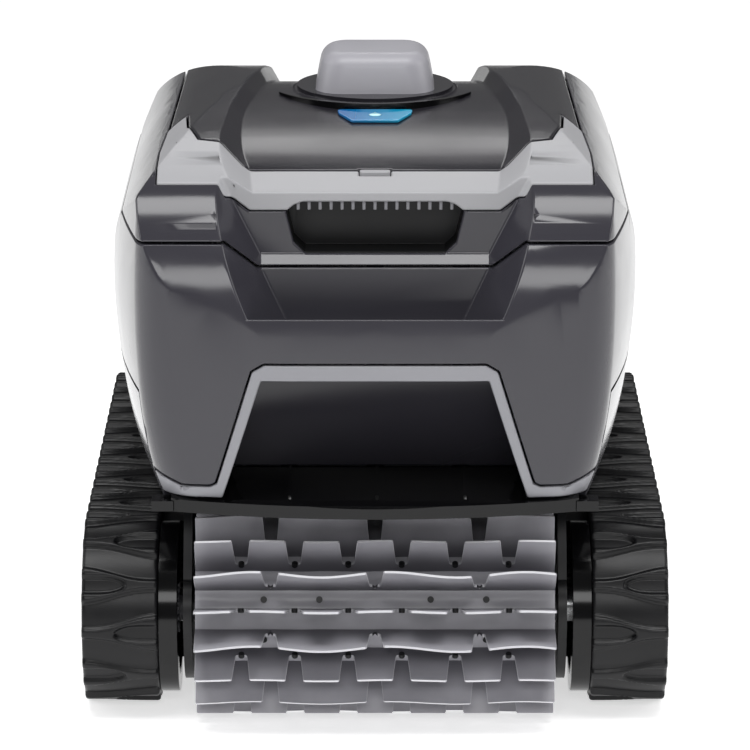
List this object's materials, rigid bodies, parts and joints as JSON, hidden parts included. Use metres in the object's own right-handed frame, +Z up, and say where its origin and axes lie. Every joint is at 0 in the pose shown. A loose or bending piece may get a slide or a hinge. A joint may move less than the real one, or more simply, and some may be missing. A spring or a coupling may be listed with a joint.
{
  "type": "robotic pool cleaner",
  "caption": "Robotic pool cleaner on two rubber tracks, with a vaned brush roller, a hinged lid over a lift-out filter basket, and a pump outlet on top.",
  "frame": {"origin": "on the floor under the middle of the cleaner", "axes": "+X to the right when facing the front from outside, -Y towards the brush and carrying handle, +Z up"},
  "size_m": [0.27, 0.3675, 0.288],
  "materials": {
    "casing_grey": "gloss moulded ABS, dark gunmetal grey",
    "lid_grey": "satin gloss moulded ABS, dark grey",
    "band_grey": "satin moulded ABS, light grey",
    "hood_grey": "satin moulded ABS, mid grey",
    "trim_black": "gloss black moulded plastic",
    "inner_black": "matt black moulded plastic",
    "track_rubber": "moulded black rubber",
    "seal_rubber": "soft black rubber",
    "brush_grey": "flexible grey PVC",
    "basket_plastic": "matt dark moulded plastic",
    "mesh_fabric": "fine woven nylon mesh",
    "badge_blue": "domed gloss lens, blue",
    "steel": "stainless steel",
    "motor_can": "coated steel can",
    "board_green": "solder-masked circuit board"
  },
  "bodies": {
    "hull": {"chassis": "inner_black", "underside_plate": "inner_black", "front_bumper": "trim_black", "lower_casing": "casing_grey", "arch_frame": "hood_grey", "front_scoop": "trim_black", "left_side_skirt": "casing_grey", "right_side_skirt": "casing_grey", "upper_casing": "casing_grey", "carry_handle": "band_grey", "grip_pocket": "inner_black", "motor_housing": "inner_black", "housing_seal": "seal_rubber", "motor_cover": "inner_black", "pump_motor": "motor_can", "left_drive_motor": "motor_can", "right_drive_motor": "motor_can", "control_board": "board_green", "pump_duct": "inner_black", "pump_seal": "seal_rubber", "left_side_frame": "inner_black", "right_side_frame": "inner_black", "left_track_guide": "inner_black", "right_track_guide": "inner_black", "left_track": "track_rubber", "right_track": "track_rubber", "axles": "steel", "axle_screws": "steel", "cable_gland": "inner_black", "gland_nut": "inner_black", "hinge_pin": "steel", "frame_screws": "steel", "latch_spring": "steel"},
    "lid": {"lid": "lid_grey", "lid_seal": "seal_rubber", "outlet_hood": "hood_grey", "outlet_grille": "inner_black", "lid_crescent": "trim_black", "badge": "badge_blue"},
    "lid_button": {"lid_button": "band_grey"},
    "filter_basket": {"filter_frame": "basket_plastic", "filter_mesh": "mesh_fabric"},
    "basket_handle": {"basket_handle": "band_grey"},
    "inlet_flap": {"inlet_flap": "basket_plastic"},
    "brush": {"brush_core": "inner_black", "brush_sleeve": "brush_grey"},
    "propeller": {"impeller": "inner_black", "pump_shaft": "steel"},
    "left_drive_pinion": {"left_drive_pinion": "inner_black"},
    "right_drive_pinion": {"right_drive_pinion": "inner_black"},
    "front_left_wheel": {"front_left_wheel": "trim_black", "front_left_wheel_cap": "trim_black"},
    "front_right_wheel": {"front_right_wheel": "trim_black", "front_right_wheel_cap": "trim_black"},
    "rear_left_wheel": {"rear_left_wheel": "trim_black", "rear_left_wheel_cap": "trim_black"},
    "rear_right_wheel": {"rear_right_wheel": "trim_black", "rear_right_wheel_cap": "trim_black"}
  },
  "joints": [
    {"name": "lid_hinge", "type": "hinge", "parent": "hull", "child": "lid", "pos_m": [0, 0.131, 0.243], "axis": [-1, 0, 0], "range_deg": [0, 85]},
    {"name": "lid_button_press", "type": "slide", "parent": "hull", "child": "lid_button", "axis": [0, 0, -1], "range_m": [0, 0.0025], "stiffness_N_per_m": 800, "springref_m": -0.001, "deforming": ["latch_spring"]},
    {"name": "basket_lift", "type": "slide", "parent": "hull", "child": "filter_basket", "axis": [0, 0, 1], "range_m": [0, 0.165]},
    {"name": "basket_handle_hinge", "type": "hinge", "parent": "filter_basket", "child": "basket_handle", "pos_m": [0, -0.02, 0.232], "axis": [-1, 0, 0], "range_deg": [0, 92]},
    {"name": "inlet_flap_hinge", "type": "hinge", "parent": "filter_basket", "child": "inlet_flap", "pos_m": [0, -0.048, 0.1126], "axis": [-1, 0, 0], "range_deg": [0, 70]},
    {"name": "brush_spin", "type": "hinge", "parent": "hull", "child": "brush", "pos_m": [0, -0.13434, 0.04955], "axis": [1, 0, 0], "continuous": true},
    {"name": "propeller_spin", "type": "hinge", "parent": "hull", "child": "propeller", "pos_m": [0, 0.005, 0.216], "axis": [0, 0, 1], "continuous": true},
    {"name": "rear_left_wheel_spin", "type": "hinge", "parent": "hull", "child": "rear_left_wheel", "pos_m": [0, 0.1393, 0.0445], "axis": [1, 0, 0], "continuous": true, "deforming": ["left_track"]},
    {"name": "front_left_wheel_spin", "type": "hinge", "parent": "hull", "child": "front_left_wheel", "pos_m": [0, -0.1155, 0.0445], "axis": [1, 0, 0], "continuous": true},
    {"name": "left_drive_pinion_spin", "type": "hinge", "parent": "hull", "child": "left_drive_pinion", "pos_m": [0, 0.1198, 0.0445], "axis": [1, 0, 0], "continuous": true},
    {"name": "rear_right_wheel_spin", "type": "hinge", "parent": "hull", "child": "rear_right_wheel", "pos_m": [0, 0.1393, 0.0445], "axis": [1, 0, 0], "continuous": true, "deforming": ["right_track"]},
    {"name": "front_right_wheel_spin", "type": "hinge", "parent": "hull", "child": "front_right_wheel", "pos_m": [0, -0.1155, 0.0445], "axis": [1, 0, 0], "continuous": true},
    {"name": "right_drive_pinion_spin", "type": "hinge", "parent": "hull", "child": "right_drive_pinion", "pos_m": [0, 0.1198, 0.0445], "axis": [1, 0, 0], "continuous": true}
  ],
  "couplings": [
    {"joint": "basket_lift", "follows": "lid_hinge", "m_per_rad": 0.11},
    {"joint": "basket_handle_hinge", "follows": "lid_hinge", "ratio": 1},
    {"joint": "brush_spin", "follows": "rear_left_wheel_spin", "ratio": 2.8571},
    {"joint": "front_left_wheel_spin", "follows": "rear_left_wheel_spin", "ratio": 1},
    {"joint": "left_drive_pinion_spin", "follows": "rear_left_wheel_spin", "ratio": 2.8571},
    {"joint": "front_right_wheel_spin", "follows": "rear_right_wheel_spin", "ratio": 1},
    {"joint": "right_drive_pinion_spin", "follows": "rear_right_wheel_spin", "ratio": 2.8571}
  ]
}
